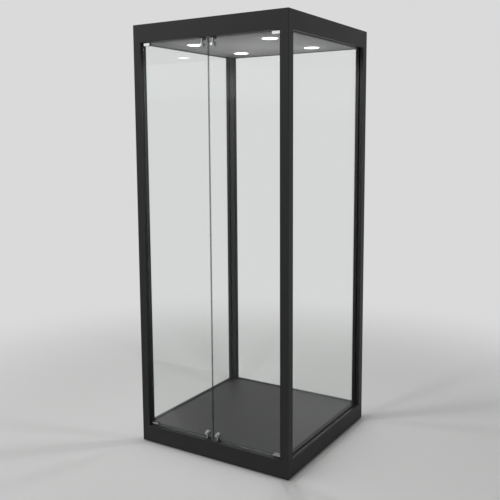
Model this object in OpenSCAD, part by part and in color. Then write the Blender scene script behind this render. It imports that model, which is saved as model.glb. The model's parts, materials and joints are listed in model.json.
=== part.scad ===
// Floor-standing glass display case: an extruded frame round four glass sides,
// the front one a pair of pivoting doors with a keyed bolt lock at each free corner.
// +Z is up and the doors face -Y. The origin is on the floor under the middle of the case.

/* [Case] */
// Outside width of the case
case_w = 800; // [600:10:1000]
// Outside depth of the case
case_d = 800; // [600:10:1000]
// Clear height of the glass between plinth and fascia
clear_h = 1800; // [1200:10:2000]
// Gap under the plinth, which the levelling feet hold
foot_gap = 5; // [3:1:15]

/* [Frame extrusions] */
// Side of the square posts, and depth of the rails
profile_w = 40; // [36:1:50]
// Height of the fascia and plinth rails
rail_h = 80; // [70:1:110]
// Wall of every extrusion
wall = 2.5; // [2:0.5:3]
// Radius of the outer vertical edges
edge_r = 2.5; // [1:0.5:4]
// Radius of the long outer edge of a rail
rail_edge_r = 1.5; // [0.5:0.5:3]
// Width of the flanges that carry the boards
flange_w = 14; // [10:1:20]
// Thickness of those flanges
flange_t = 2; // [1.5:0.5:3]
// Diameter of the screw channel in a post
channel_d = 11; // [10:0.5:12]

/* [Glass] */
// Thickness of the fixed panes and the doors
glass_t = 6; // [5:1:8]
// Width of the glazing groove
groove_w = 8; // [8:0.5:11]
// Depth of the glazing groove
groove_depth = 12; // [10:1:13]
// How far a pane reaches into its groove
bite = 10; // [6:1:10]
// How far the gasket lips stand proud of the groove
lip = 1; // [0:0.5:2]

/* [Boards] */
// Thickness of the deck and ceiling boards
board_t = 18; // [16:1:22]
// Thickness of the roof sheet
roof_t = 3; // [2:0.5:4]
// Gap round each board
board_gap = 0.5; // [0.3:0.1:1]

/* [Doors] */
// Gap round the doors and between them
door_gap = 3; // [2:0.5:4]
// Distance of the pivot from the door's hinge edge
pivot_in = 12; // [10:1:15]
// Diameter of the pivot pins
pin_d = 6; // [5:0.5:7]
// Radial clearance of a running fit
run_gap = 0.05; // [0.02:0.01:0.08]
// Length of a pivot clip
clip_l = 40; // [34:1:50]
// Height of a pivot clip
clip_h = 12; // [11:1:20]
// Wall of a pivot clip
clip_wall = 3; // [2.5:0.5:4]
// Thickness of the pads between clip and glass
pad_t = 1; // [0.5:0.5:1.5]
// Outer diameter of the pivot bushes
bush_d = 10; // [9:0.5:12]
// Diameter of the flange of a pivot bush
bush_flange_d = 14; // [13:1:18]

/* [Locks] */
// Distance of each lock from the middle of the case
lock_x = 28; // [22:1:40]
// Height of a lock's cylinder from the rail
lock_z = 33; // [30:1:50]
// Diameter of the round lock housing
lock_d = 19; // [19:0.5:24]
// Thickness of the lock housing
lock_t = 10; // [10:0.5:10.5]
// Diameter of the cylinder's boss
boss_d = 13; // [12:0.5:15]
// Diameter of the turning plug
plug_d = 9; // [8:0.5:9.5]
// Diameter of the bolt
bolt_d = 4.5; // [4:0.5:5]
// Travel of the bolt
bolt_throw = 6; // [5:0.5:6]
// Clearance of the bolt in its guide and holes
bolt_gap = 0.1; // [0.05:0.05:0.3]

/* [Lights] */
// Distance of the lamps from the middle, across the case
lamp_x = 200; // [120:5:240]
// Distance of the lamps from the middle, front to back
lamp_y = 200; // [120:5:240]
// Diameter of a lamp's trim
lamp_d = 78; // [70:1:90]
// Height of the trim below the ceiling
lamp_trim_t = 2.5; // [2.5:0.5:8]
// Depth of the lens below the trim
lens_drop = 0.5; // [0.5:0.5:4]

/* [Feet] */
// Diameter of a foot's pad
foot_d = 40; // [30:1:50]
// Diameter of a foot's stud
stud_d = 8; // [6:1:10]
// Distance of the feet from the outer faces
foot_in = 72; // [66:1:90]

/* [Hidden] */
$fn = 48;
EPS = 0.01;

// Levels
plinth_z = foot_gap + rail_h;      // top of the plinth
fascia_z = plinth_z + clear_h;     // underside of the fascia
mid_z = plinth_z + clear_h / 2;    // height about which the glass and doors mirror

// The glass stands on the middle of the posts and rails
glass_x = case_w / 2 - profile_w / 2;
glass_y = case_d / 2 - profile_w / 2;
open_w = case_w - 2 * profile_w;   // clear opening of the front and back
open_d = case_d - 2 * profile_w;   // clear opening of the sides
groove_wall_w = groove_w + 2 * wall;
rail_reach = profile_w + flange_w; // from a rail's outer face to the tip of its flanges

// Corner cleats and the screws that hold the posts
cleat_gap = 0.3;                   // clearance of a cleat in its rail
cleat_leg = 64;                    // leg of a cleat beyond the rail's depth
cleat_lift = groove_depth + wall + 1; // underside of a cleat above the opening side of its rail
cleat_h = 20;
post_screw_d = 6;
post_screw_len = 30;               // how far the screw reaches into the post
post_screw_head_d = 11;
post_screw_head_h = 4;
post_screw_key_d = 5;
post_screw_key_h = 2.5;
screw_gap = 0.1;                   // radial clearance of a screw in its hole

// Board screws
board_screw_d = 4;
board_screw_len = 12;
board_screw_head_d = 7.5;
board_screw_head_h = 2.4;
board_screw_count = 3;             // on each side of the ceiling board

// Doors. Each is modelled as the left one, hinged at -X, and mirrored for the right one
door_w = (open_w - 3 * door_gap) / 2;
door_edge_x = -open_w / 2 + door_gap;
pivot_x = door_edge_x + pivot_in;
door_z0 = plinth_z + door_gap;
notch_gap = 1;                     // between a clip's end and the notch in the glass
clip_t = glass_t + 2 * pad_t + 2 * clip_wall;
bush_flange_t = door_gap - 0.3;
bush_l = 14;                       // bush below its flange
pin_l = 13;                        // pin outside its clip
grub_d = 5;
grub_key_d = 2.5;
grub_key_h = 2;
grub_pitch = 20;
grub_up = (clip_h + clip_wall) / 2; // grub screws above the outer face of the clip
pad_h = clip_h - clip_wall - 2;

// Locks. Each is modelled as the lower left one and mirrored
glass_front_y = -glass_y - glass_t / 2;
glass_back_y = -glass_y + glass_t / 2;
lock_level = plinth_z + lock_z;
bolt_axis_y = glass_front_y - 4.5;
bolt_hole_d = bolt_d + 1;
cavity_r = lock_d / 2 - 1.5;
cover_t = 1.5;
cover_gap = 0.05;                  // between the cover and the housing
shell_t = 1.5;                     // front wall of the housing
boss_len = 5.5;
neck_d = bolt_d + 4;
neck_end_z = plinth_z + 7;
neck_set = 0.7;                    // how deep the neck is set into the housing's wall
spigot_d = 13.6;
spigot_gap = 0.2;                  // spigot in the hole of the glass
rosette_t = 3;
rosette_recess = 1;
rosette_screw_d = 4;
rosette_screw_len = 8;
rosette_screw_head_d = 8;
rosette_screw_head_h = 1.6;
rosette_key_d = 3;
rosette_key_h = 1;
crank_r = bolt_throw / 2 / sin(45);  // crank pin's radius, for a quarter turn
crank_pin_d = 2;
crank_pin_l = 3.6;
crank_rim = 0.5;                   // of the disc round the pin
crank_disc_t = 1.2;
crank_gap = 0.1;
fork_gap = 0.3;                   // crank pin in the bolt's fork, above and below
fork_t = 3;
fork_prong = 0.9;
fork_reach = crank_r + 1.3;
fork_root = bolt_throw / 2 - crank_pin_d / 2 - fork_gap;  // inner end of the fork's slot
plug_proud = 0.4;
key_slot = [5.4, 1.1, 3];          // height, width and depth
bolt_rest_z = plinth_z + 2.5;      // tip of a lower bolt at rest
stop_plate_t = 1.5;
stop_w = 24;
stop_tab_t = 2;
stop_tab_h = 11;
stop_gap = 0.3;                    // between a stop and its door
stop_front = 9.5;                  // plate in front of the bolt's hole

// Lamps, driver and wiring
lamp_body_d = lamp_d - 10;
lamp_hole_d = lamp_body_d + 1;
lamp_body_h = board_t + 12;        // above the ceiling's underside
lens_d = lamp_d - 8;
lens_seat = 2;                     // lens inside the trim
lens_ledge = 4;                    // ledge that the lens rests on
lamp_well_h = 6;                   // hollow above the ceiling's underside
lamp_soft = 0.5;                   // radius on the rims of trim and lens
fin_count = 12;
fin_depth = 8;
fin_slot = 3;                      // slot between two fins
driver_size = [160, 60, 30];
driver_y = lamp_y;
driver_ear = 12;
driver_ear_t = 3;
driver_hole_d = 4.5;
driver_hole_in = 10;               // screw hole from the driver's side
vent_count = 7;
vent_pitch = 18;
vent_w = 8;
vent_depth = 2;
lead_d = 4;
mains_d = 6;
lead_sides = 8;
lead_z = fascia_z + board_t + lead_d / 2;
inlet_w = 30;
inlet_h = 20;
inlet_z = fascia_z + board_t + 0.3 * rail_h; // middle of the inlet, above the ceiling board
inlet_flange = 4;
inlet_flange_t = 1.5;
inlet_len = profile_w + 6;
inlet_slot = [16, 8, 12];          // width, height and depth of the socket
inlet_pin_pitch = 8.6;
inlet_pin_d = 2.4;
inlet_pin_l = 9;

// Feet
foot_pad_h = 7;
foot_soft = 2;                     // radius on the pad's rim
foot_stud_top = foot_gap + 0.525 * rail_h;
foot_x = case_w / 2 - foot_in;
foot_y = case_d / 2 - foot_in;
bracket_t = 5;
bracket_lift = 10;                 // bracket above the lower flange
bracket_z = foot_gap + roof_t + flange_t + bracket_lift; // underside of a foot bracket
bracket_leg = 76;
bracket_ear_h = 25;
bracket_ear_t = 3;
nut_d = 15;
nut_h = 6;
foot_boss_d = nut_d + 3;
foot_boss_h = 6;                   // threaded boss above its bracket

FRAME = [0.19, 0.19, 0.19];
DECK = [0.29, 0.29, 0.29];
CEILING = [0.45, 0.45, 0.45];
GLASS = [0.75, 0.85, 0.82, 0.35];
GASKET = [0.10, 0.10, 0.10];
CHROME = [0.80, 0.80, 0.82];
ALLOY = [0.70, 0.70, 0.72];
STEEL = [0.62, 0.62, 0.64];
NYLON = [0.12, 0.12, 0.12];
LENS = [1.00, 0.98, 0.93];
CASING = [0.88, 0.88, 0.86];

// ---------------------------------------------------------------- placing

// Children are drawn for the front, with the outer face on y = 0, and turned to a side: 0 is the front
module at_side(side) {
    out = side % 2 == 0 ? case_d / 2 : case_w / 2;
    rotate([0, 0, side * 90]) translate([0, -out, 0]) children();
}

// Children are drawn from the underside of the fascia up, and mirrored to hang below the plinth's top
module top_frame() translate([0, 0, fascia_z]) children();
module base_frame() translate([0, 0, plinth_z]) mirror([0, 0, 1]) children();

// Children are drawn for the left half and mirrored to the right
module right_half() mirror([1, 0, 0]) children();

// Children are drawn at the lower end of a door and mirrored to the upper end
module upper_end() translate([0, 0, mid_z]) mirror([0, 0, 1]) translate([0, 0, -mid_z]) children();

// A copy at every corner, turned so that local +X and +Y point into the case
module each_corner() {
    for (sx = [-1, 1], sy = [-1, 1])
        translate([sx * case_w / 2, sy * case_d / 2, 0])
            mirror([sx > 0 ? 1 : 0, 0, 0]) mirror([0, sy > 0 ? 1 : 0, 0]) children();
}

// ---------------------------------------------------------------- extrusions

// What a radius leaves of a corner at the origin that points to -X and -Y
module corner_waste(r) {
    difference() {
        translate([-1, -1]) square(r + 1);
        translate([r, r]) circle(r);
    }
}

// Rail section: x runs in from the outer face, y runs away from the glass
module rail_section(grooved) {
    difference() {
        union() {
            square([profile_w, rail_h]);
            translate([profile_w - EPS, board_t]) square([flange_w + EPS, flange_t]);
            translate([profile_w - EPS, rail_h - roof_t - flange_t]) square([flange_w + EPS, flange_t]);
        }
        difference() {
            translate([wall, wall]) square([profile_w - 2 * wall, rail_h - 2 * wall]);
            if (grooved)
                translate([(profile_w - groove_wall_w) / 2, 0]) square([groove_wall_w, groove_depth + wall]);
        }
        if (grooved)
            translate([(profile_w - groove_w) / 2, -1]) square([groove_w, groove_depth + 1]);
        translate([0, rail_h]) mirror([0, 1]) corner_waste(rail_edge_r);
    }
}

// A rail with mitred ends, along X, its outer face on y = 0
module mitred_rail(length, grooved) {
    difference() {
        intersection() {
            translate([-length / 2, 0, 0]) rotate([90, 0, 90]) linear_extrude(length) rail_section(grooved);
            linear_extrude(rail_h)
                polygon([[-length / 2, 0], [length / 2, 0],
                         [length / 2 - rail_reach, rail_reach], [-length / 2 + rail_reach, rail_reach]]);
        }
        for (m = [0, 1]) mirror([m, 0, 0]) translate([-length / 2, 0, 0]) {
            translate([0, 0, -1]) linear_extrude(rail_h + 2) corner_waste(edge_r);
            translate([profile_w / 2, profile_w / 2, -1])
                cylinder(d = post_screw_d + 2 * screw_gap, h = groove_depth + wall + 2);
        }
    }
}

module rail(side) {
    length = side % 2 == 0 ? case_w : case_d;
    color(FRAME) at_side(side) mitred_rail(length, side != 0);
}

// Holes in the front rails, drilled for a pair of bushes and a pair of bolts
module front_rail_holes() {
    for (m = [0, 1]) mirror([m, 0, 0]) {
        translate([pivot_x, -glass_y, -1]) cylinder(d = bush_d, h = wall + 2);
        translate([-lock_x, bolt_axis_y, -1]) cylinder(d = bolt_hole_d, h = wall + 2);
    }
}

module front_rail() {
    color(FRAME) difference() {
        rail(0);
        front_rail_holes();
    }
}

// Children are drawn at every screw of the ceiling board on one side, on the flange's underside
module board_screw_spots(side) {
    run = side % 2 == 0 ? open_w : open_d;
    for (i = [0 : board_screw_count - 1])
        at_side(side)
            translate([(i - (board_screw_count - 1) / 2) * run / board_screw_count,
                       profile_w + flange_w / 2, board_t])
                children();
}

module board_screw_holes(side) board_screw_spots(side)
    translate([0, 0, -1]) cylinder(d = board_screw_d + 2 * screw_gap, h = flange_t + 2);

module top_rail(side) {
    color(FRAME) top_frame() difference() {
        if (side == 0) front_rail(); else rail(side);
        board_screw_holes(side);
        if (side == 2) inlet_cutout();
    }
}

module base_rail(side) {
    color(FRAME) base_frame() if (side == 0) front_rail(); else rail(side);
}

// Post section, its corner of the case towards -X and -Y
module post_section(groove_on_x, groove_on_y) {
    c = profile_w / 2;
    difference() {
        square(profile_w);
        difference() {
            translate([wall, wall]) square(profile_w - 2 * wall);
            translate([c, c]) circle(d = channel_d);
            translate([c, c]) rotate(45) translate([-profile_w, -wall / 2]) square([profile_w, wall]);
            translate([c - wall / 2, c]) square([wall, c]);
            translate([c, c - wall / 2]) square([c, wall]);
            if (groove_on_y)
                translate([c - groove_wall_w / 2, profile_w - groove_depth - wall])
                    square([groove_wall_w, groove_depth + wall]);
            if (groove_on_x)
                translate([profile_w - groove_depth - wall, c - groove_wall_w / 2])
                    square([groove_depth + wall, groove_wall_w]);
        }
        translate([c, c]) circle(d = post_screw_d + 2 * screw_gap);
        if (groove_on_y)
            translate([c - groove_w / 2, profile_w - groove_depth]) square([groove_w, groove_depth + 1]);
        if (groove_on_x)
            translate([profile_w - groove_depth, c - groove_w / 2]) square([groove_depth + 1, groove_w]);
        corner_waste(edge_r);
    }
}

// Front posts take the side panes only; rear posts take the back pane as well
module post(sx, sy) {
    color(FRAME) translate([sx * case_w / 2, sy * case_d / 2, plinth_z])
        mirror([sx > 0 ? 1 : 0, 0, 0]) mirror([0, sy > 0 ? 1 : 0, 0])
            linear_extrude(clear_h) post_section(sy > 0, true);
}

// Solid L-shaped block that joins two mitred rails and takes the post's screw
module corner_cleat() {
    inner = profile_w - 2 * wall - 2 * cleat_gap;
    lo = wall + cleat_gap;
    difference() {
        translate([0, 0, cleat_lift]) linear_extrude(cleat_h) {
            translate([lo, lo]) square([cleat_leg, inner]);
            translate([lo, lo]) square([inner, cleat_leg]);
        }
        translate([profile_w / 2, profile_w / 2, 0]) cylinder(d = post_screw_d + 2 * screw_gap, h = rail_h);
    }
}

module corner_cleats() {
    color(ALLOY) {
        top_frame() each_corner() corner_cleat();
        base_frame() each_corner() corner_cleat();
    }
}

// Round head with a hexagon socket, its underside on z = 0
module screw_head(d, h, key_d, key_h) {
    difference() {
        cylinder(d = d, h = h);
        translate([0, 0, h - key_h]) cylinder(d = key_d, h = h, $fn = 6);
    }
}

module post_screw() {
    translate([profile_w / 2, profile_w / 2, 0]) {
        translate([0, 0, -post_screw_len])
            cylinder(d = post_screw_d, h = post_screw_len + cleat_lift + cleat_h);
        translate([0, 0, cleat_lift + cleat_h])
            screw_head(post_screw_head_d, post_screw_head_h, post_screw_key_d, post_screw_key_h);
    }
}

module post_screws() {
    color(STEEL) {
        top_frame() each_corner() post_screw();
        base_frame() each_corner() post_screw();
    }
}

// ---------------------------------------------------------------- boards

module board(h) {
    linear_extrude(h)
        square([open_w - 2 * board_gap, open_d - 2 * board_gap], center = true);
}

module deck_board() color(DECK) translate([0, 0, plinth_z - board_t]) board(board_t);

module ceiling_board() {
    color(CEILING) top_frame() difference() {
        board(board_t);
        each_lamp() translate([0, 0, -1]) cylinder(d = lamp_hole_d, h = board_t + 2);
        for (side = [0 : 3]) board_screw_spots(side)
            translate([0, 0, -board_screw_len])
                cylinder(d = board_screw_d + 2 * screw_gap, h = board_screw_len + 1);
    }
}

module board_screws() {
    color(STEEL) top_frame() for (side = [0 : 3]) board_screw_spots(side) {
        translate([0, 0, flange_t - board_screw_len]) cylinder(d = board_screw_d, h = board_screw_len);
        translate([0, 0, flange_t]) cylinder(d = board_screw_head_d, h = board_screw_head_h);
    }
}

module roof_sheet() color(FRAME) top_frame() translate([0, 0, rail_h - roof_t]) board(roof_t);

// ---------------------------------------------------------------- fixed glass

// A pane that stands along X, centred on y = 0
module pane(opening) {
    translate([-opening / 2 - bite, -glass_t / 2, plinth_z - bite])
        cube([opening + 2 * bite, glass_t, clear_h + 2 * bite]);
}

// The U-section gasket round a pane's edge
module gasket(opening) {
    difference() {
        translate([-opening / 2 - groove_depth, -groove_w / 2, plinth_z - groove_depth])
            cube([opening + 2 * groove_depth, groove_w, clear_h + 2 * groove_depth]);
        translate([-opening / 2 + lip, -groove_w, plinth_z + lip])
            cube([opening - 2 * lip, 2 * groove_w, clear_h - 2 * lip]);
        pane(opening);
    }
}

module at_left_glass() translate([-glass_x, 0, 0]) rotate([0, 0, 90]) children();
module at_back_glass() translate([0, glass_y, 0]) children();

module left_glass() color(GLASS) at_left_glass() pane(open_d);
module right_glass() color(GLASS) right_half() at_left_glass() pane(open_d);
module back_glass() color(GLASS) at_back_glass() pane(open_w);
module left_gasket() color(GASKET) at_left_glass() gasket(open_d);
module right_gasket() color(GASKET) right_half() at_left_glass() gasket(open_d);
module back_gasket() color(GASKET) at_back_glass() gasket(open_w);

// ---------------------------------------------------------------- door pivots

// Flanged bush in the plinth or fascia, drawn for the lower left pivot
module pivot_bush() {
    translate([pivot_x, -glass_y, plinth_z]) difference() {
        union() {
            translate([0, 0, -bush_l]) cylinder(d = bush_d, h = bush_l + EPS);
            cylinder(d = bush_flange_d, h = bush_flange_t);
        }
        translate([0, 0, -bush_l - 1]) cylinder(d = pin_d + 2 * run_gap, h = bush_l + door_gap + 1);
    }
}

module pivot_bushes() {
    color(NYLON) for (m = [0, 1]) mirror([m, 0, 0]) {
        pivot_bush();
        upper_end() pivot_bush();
    }
}

// Door glass: notched where the clips carry it, drilled for the locks
module door_glass() {
    color(GLASS) difference() {
        translate([door_edge_x, -glass_y - glass_t / 2, door_z0])
            cube([door_w, glass_t, clear_h - 2 * door_gap]);
        clip_notch();
        upper_end() clip_notch();
        lock_hole();
        upper_end() lock_hole();
    }
}

module clip_notch() {
    translate([door_edge_x - 1, -glass_y - glass_t, door_z0 - 1])
        cube([clip_l + notch_gap + 1, 2 * glass_t, clip_wall + 1]);
}

module lock_hole() {
    translate([-lock_x, -glass_y, lock_level]) rotate([90, 0, 0])
        cylinder(d = spigot_d + 2 * spigot_gap, h = 2 * glass_t, center = true);
}

// U-shaped clip round the lower hinge corner of a door, with rounded front and back corners
module pivot_clip() {
    end_r = 4;
    translate([door_edge_x, -glass_y, door_z0]) difference() {
        translate([0, clip_t / 2, 0]) rotate([90, 0, 0]) linear_extrude(clip_t) difference() {
            square([clip_l, clip_h]);
            translate([clip_l, clip_h]) rotate(180) corner_waste(end_r);
        }
        translate([-1, -clip_t / 2 + clip_wall, clip_wall])
            cube([clip_l + 2, clip_t - 2 * clip_wall, clip_h]);
        translate([pivot_in, 0, -1]) cylinder(d = pin_d, h = clip_wall + 2);
        for (i = [-1, 1]) translate([clip_l / 2 + i * grub_pitch / 2, 0, grub_up])
            rotate([-90, 0, 0]) cylinder(d = grub_d, h = clip_t);
    }
}

module pivot_clips() {
    color(CHROME) {
        pivot_clip();
        upper_end() pivot_clip();
    }
}

module pivot_pin() translate([pivot_x, -glass_y, door_z0 - pin_l]) cylinder(d = pin_d, h = pin_l + clip_wall);

module pivot_pins() {
    color(STEEL) {
        pivot_pin();
        upper_end() pivot_pin();
    }
}

// Pads on both faces of the glass inside a clip
module clip_pad_pair() {
    for (s = [-1, 1])
        translate([door_edge_x + 1, -glass_y + s * (glass_t + pad_t) / 2 - pad_t / 2, door_z0 + clip_wall])
            cube([clip_l - 2, pad_t, pad_h]);
}

module clip_pads() {
    color(GASKET) {
        clip_pad_pair();
        upper_end() clip_pad_pair();
    }
}

module grub_screws() {
    for (i = [-1, 1])
        translate([door_edge_x + clip_l / 2 + i * grub_pitch / 2,
                   -glass_y + clip_t / 2 - clip_wall,
                   door_z0 + grub_up])
            rotate([-90, 0, 0]) screw_head(grub_d, clip_wall, grub_key_d, grub_key_h);
}

module rosette_screw() {
    back = glass_back_y + rosette_t;
    translate([-lock_x, 0, lock_level]) rotate([-90, 0, 0]) {
        translate([0, 0, back - rosette_screw_len]) cylinder(d = rosette_screw_d, h = rosette_screw_len);
        translate([0, 0, back])
            screw_head(rosette_screw_head_d, rosette_screw_head_h, rosette_key_d, rosette_key_h);
    }
}

module door_screws() {
    color(STEEL) {
        grub_screws();
        rosette_screw();
        upper_end() {
            grub_screws();
            rosette_screw();
        }
    }
}

// ---------------------------------------------------------------- locks

// Children are drawn round the cylinder's axis, with z running out of the glass towards the front
module at_lock() translate([-lock_x, glass_front_y, lock_level]) rotate([90, 0, 0]) children();

// Outline of the housing's front shell: radius and height above the glass
module housing_section() {
    r = lock_d / 2;
    soft = 1.5;
    difference() {
        union() {
            square([r, lock_t]);
            square([boss_d / 2, lock_t + boss_len]);
        }
        translate([r, lock_t]) rotate(180) corner_waste(soft);
        translate([boss_d / 2, lock_t + boss_len]) rotate(180) corner_waste(soft / 2);
        square([cavity_r, lock_t - shell_t]);
        square([plug_d / 2 + run_gap, lock_t + boss_len + 1]);
    }
}

// Round housing with a neck that guides the bolt to the rail
module lock_housing() {
    neck = lock_level - neck_end_z;
    color(CHROME) difference() {
        union() {
            at_lock() rotate_extrude() housing_section();
            difference() {
                union() {
                    translate([-lock_x, bolt_axis_y, neck_end_z]) cylinder(d = neck_d, h = neck);
                    translate([-lock_x - neck_d / 2, bolt_axis_y, neck_end_z])
                        cube([neck_d, glass_front_y - bolt_axis_y, neck]);
                }
                at_lock() cylinder(r = lock_d / 2 - neck_set, h = lock_t);
            }
        }
        translate([-lock_x, bolt_axis_y, neck_end_z - 1]) cylinder(d = bolt_d + 2 * bolt_gap, h = neck);
    }
}

// Cover that closes the housing against the glass, with the spigot that goes through it
module lock_cover() {
    at_lock() difference() {
        union() {
            cylinder(r = cavity_r - cover_gap, h = cover_t);
            translate([0, 0, -glass_t - rosette_recess])
                cylinder(d = spigot_d, h = glass_t + rosette_recess + EPS);
        }
        translate([0, 0, -glass_t - rosette_t])
            cylinder(d = rosette_screw_d + 2 * screw_gap, h = rosette_screw_len);
    }
}

module lock_covers() {
    color(STEEL) {
        lock_cover();
        upper_end() lock_cover();
    }
}

// Rosette on the back of the glass
module lock_rosette() {
    at_lock() translate([0, 0, -glass_t]) mirror([0, 0, 1]) rotate_extrude() difference() {
        square([lock_d / 2, rosette_t]);
        translate([lock_d / 2, rosette_t]) rotate(180) corner_waste(1);
        square([rosette_screw_d / 2 + screw_gap, rosette_t + 1]);
        square([spigot_d / 2 + spigot_gap, rosette_recess]);
    }
}

module lock_rosettes() {
    color(CHROME) {
        lock_rosette();
        upper_end() lock_rosette();
    }
}

// Keyed plug with a crank disc behind the housing's front wall, unlocked: the pin is 45 degrees up
module lock_plug() {
    inner = lock_t - shell_t - crank_gap;      // front of the crank disc
    face = lock_t + boss_len + plug_proud;
    pin_end = inner - crank_disc_t - crank_pin_l;
    color(STEEL) at_lock() {
        difference() {
            translate([0, 0, inner - crank_disc_t]) cylinder(d = plug_d, h = face - inner + crank_disc_t);
            translate([-key_slot[1] / 2, -key_slot[0] / 2, face - key_slot[2]])
                cube([key_slot[1], key_slot[0], key_slot[2] + 1]);
        }
        translate([0, 0, inner - crank_disc_t])
            cylinder(r = crank_r + crank_pin_d / 2 + crank_rim, h = crank_disc_t);
        rotate([0, 0, 45]) translate([crank_r, 0, pin_end])
            cylinder(d = crank_pin_d, h = inner - crank_disc_t - pin_end + EPS);
    }
}

// Bolt with a fork that the crank pin moves, drawn retracted
module lock_bolt() {
    fork_z = lock_level + bolt_throw / 2;
    slot_h = crank_pin_d + 2 * fork_gap;
    fork_h = slot_h + 2 * fork_prong;
    tip = 0.8;
    color(STEEL) difference() {
        union() {
            translate([-lock_x, bolt_axis_y, bolt_rest_z]) {
                cylinder(d1 = bolt_d - 2 * tip, d2 = bolt_d, h = tip);
                translate([0, 0, tip]) cylinder(d = bolt_d, h = fork_z + fork_h / 2 - bolt_rest_z - tip);
            }
            translate([-lock_x, bolt_axis_y - fork_t / 2, fork_z - fork_h / 2])
                cube([fork_reach, fork_t, fork_h]);
        }
        translate([-lock_x + fork_root, bolt_axis_y - bolt_d, fork_z - slot_h / 2])
            cube([fork_reach, 2 * bolt_d, slot_h]);
    }
}

// Plate on the rail round the bolt's hole, with a tab that stops the door
module door_stop() {
    tab_y = glass_back_y + stop_gap;
    color(FRAME) translate([0, 0, plinth_z]) difference() {
        union() {
            translate([-lock_x - stop_w / 2, bolt_axis_y - stop_front, 0])
                cube([stop_w, tab_y + stop_tab_t - bolt_axis_y + stop_front, stop_plate_t]);
            translate([-lock_x - stop_w / 2, tab_y, 0]) cube([stop_w, stop_tab_t, stop_tab_h]);
        }
        translate([-lock_x, bolt_axis_y, -1]) cylinder(d = bolt_hole_d, h = stop_plate_t + 2);
    }
}

module door_stops() {
    for (m = [0, 1]) mirror([m, 0, 0]) {
        door_stop();
        upper_end() door_stop();
    }
}

// ---------------------------------------------------------------- lights

module each_lamp() for (sx = [-1, 1], sy = [-1, 1]) translate([sx * lamp_x, sy * lamp_y, 0]) children();

// Finned body through the ceiling with a trim below it, drawn from the ceiling's underside
module lamp_housing() {
    difference() {
        rotate_extrude() difference() {
            union() {
                translate([0, -lamp_trim_t]) square([lamp_d / 2, lamp_trim_t]);
                square([lamp_body_d / 2, lamp_body_h]);
            }
            translate([lamp_d / 2, -lamp_trim_t]) rotate(90) corner_waste(lamp_soft);
        }
        translate([0, 0, -lamp_trim_t - 1]) cylinder(d = lens_d, h = lens_seat + 1);
        translate([0, 0, -lamp_trim_t]) cylinder(d = lens_d - 2 * lens_ledge, h = lamp_trim_t + lamp_well_h);
        for (i = [0 : fin_count - 1]) rotate([0, 0, (i + 0.5) * 360 / fin_count])
            translate([lamp_body_d / 2 - fin_depth, -fin_slot / 2, board_t + 1])
                cube([fin_depth + 1, fin_slot, lamp_body_h]);
    }
}

module lamp_housings() color(CASING) top_frame() each_lamp() lamp_housing();

// Frosted lens with a soft edge
module lamp_lens() {
    drop = lamp_trim_t + lens_drop;
    rotate_extrude() difference() {
        translate([0, -drop]) square([lens_d / 2, lens_drop + lens_seat]);
        translate([lens_d / 2, -drop]) rotate(90) corner_waste(lamp_soft);
    }
}

module lamp_lenses() color(LENS) top_frame() each_lamp() lamp_lens();

module led_driver() {
    color(CASING) translate([0, driver_y, fascia_z + board_t]) difference() {
        union() {
            translate([-driver_size[0] / 2, -driver_size[1] / 2, 0]) cube(driver_size);
            translate([-driver_size[0] / 2 - driver_ear, -driver_size[1] / 2, 0])
                cube([driver_size[0] + 2 * driver_ear, driver_size[1], driver_ear_t]);
        }
        for (sx = [-1, 1], sy = [-1, 1])
            translate([sx * (driver_size[0] + driver_ear) / 2,
                       sy * (driver_size[1] / 2 - driver_hole_in),
                       -1])
                cylinder(d = driver_hole_d, h = driver_ear_t + 2);
        for (i = [0 : vent_count - 1])
            translate([(i - (vent_count - 1) / 2) * vent_pitch - vent_w / 2,
                       -driver_size[1] / 2 - 1,
                       driver_size[2] - vent_depth])
                cube([vent_w, driver_size[1] + 2, vent_depth + 1]);
    }
}

// Round tube along a route: a ring of points across the route at each of its own points
function unit(v) = v / norm(v);
function heading(route, i) = let (n = len(route) - 1)
    unit(route[min(i + 1, n)] - route[max(i - 1, 0)]);
function side_of(t) = unit(cross([0, 0, 1], t));
function ring(p, t, r) = let (s = side_of(t), u = cross(t, s))
    [for (k = [0 : lead_sides - 1]) p + r * (cos(k * 360 / lead_sides) * s + sin(k * 360 / lead_sides) * u)];

module lead(route, d) {
    n = len(route);
    m = lead_sides;
    points = [for (i = [0 : n - 1]) each ring(route[i], heading(route, i), d / 2)];
    skin = [for (i = [0 : n - 2], k = [0 : m - 1]) let (a = i * m + k, b = i * m + (k + 1) % m)
        [a, a + m, b + m, b]];
    first_end = [for (k = [0 : m - 1]) k];
    last_end = [for (k = [m - 1 : -1 : 0]) (n - 1) * m + k];
    polyhedron(points, concat(skin, [first_end], [last_end]));
}

// A smooth route between two points: it leaves and arrives along Y, and eases across between
function eased(p, q, steps) = [for (i = [0 : steps]) let (t = i / steps, e = t * t * (3 - 2 * t))
    [p[0] + (q[0] - p[0]) * e, p[1] + (q[1] - p[1]) * t, p[2] + (q[2] - p[2]) * e]];

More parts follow.
